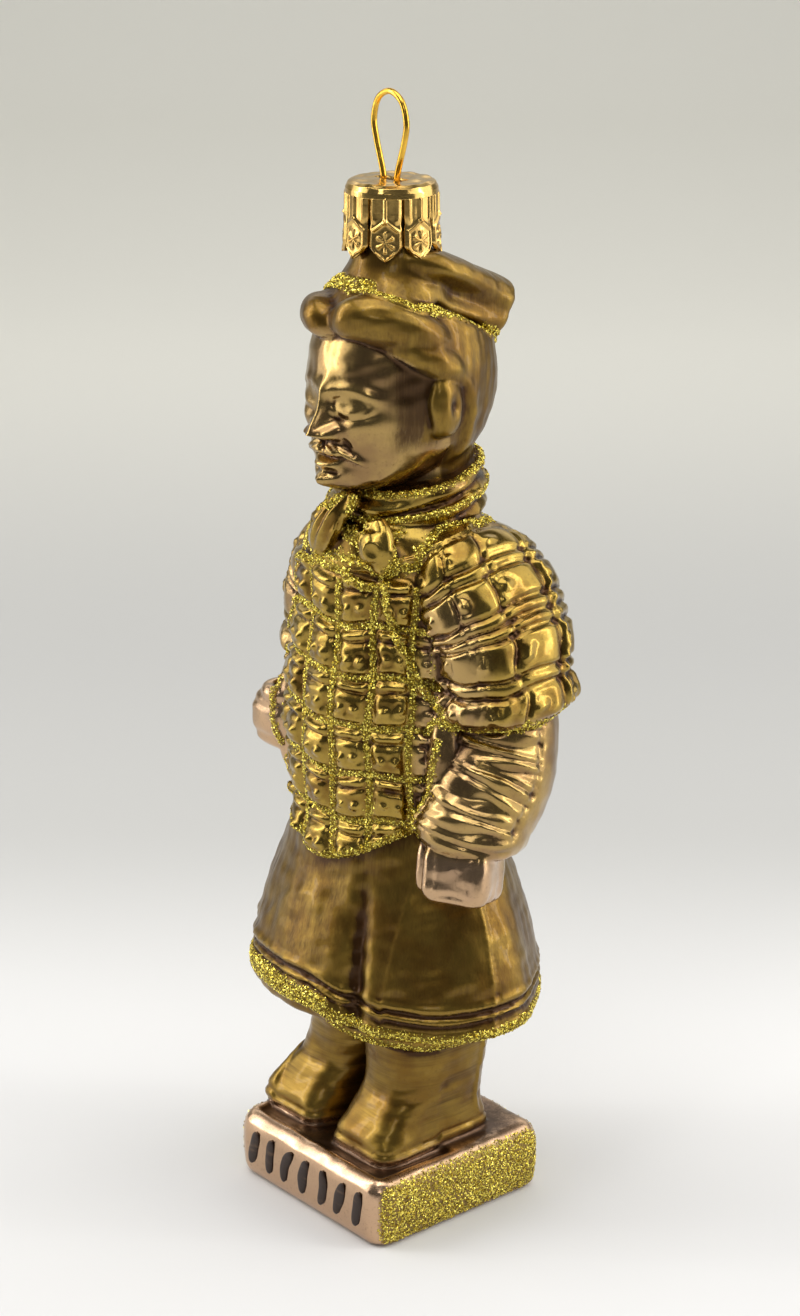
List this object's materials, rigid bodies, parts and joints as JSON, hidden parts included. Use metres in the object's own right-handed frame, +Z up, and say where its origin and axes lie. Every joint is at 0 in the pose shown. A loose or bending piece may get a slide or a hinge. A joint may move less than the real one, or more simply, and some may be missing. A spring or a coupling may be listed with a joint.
{
  "type": "glass figurine ornament",
  "caption": "Blown-glass hanging ornament shaped as an ancient armoured officer standing on a block, with a stamped metal crown and a wire loop.",
  "frame": {"origin": "centre of the flat underside of the block", "axes": "+Z up through the figure to the loop, the officer faces -Y, his left hand is on the +X side"},
  "size_m": [0.0495, 0.0358, 0.15],
  "materials": {
    "lacquered_glass": "silvered inside, gold and bronze lacquer outside with dark wiped recesses and glitter trim",
    "gold_sheet": "bright stamped gold-coloured sheet",
    "brass_wire": "bright drawn wire"
  },
  "bodies": {
    "root": {"glass_figure": "lacquered_glass", "metal_crown": "gold_sheet", "wire_loop": "brass_wire"}
  },
  "joints": []
}
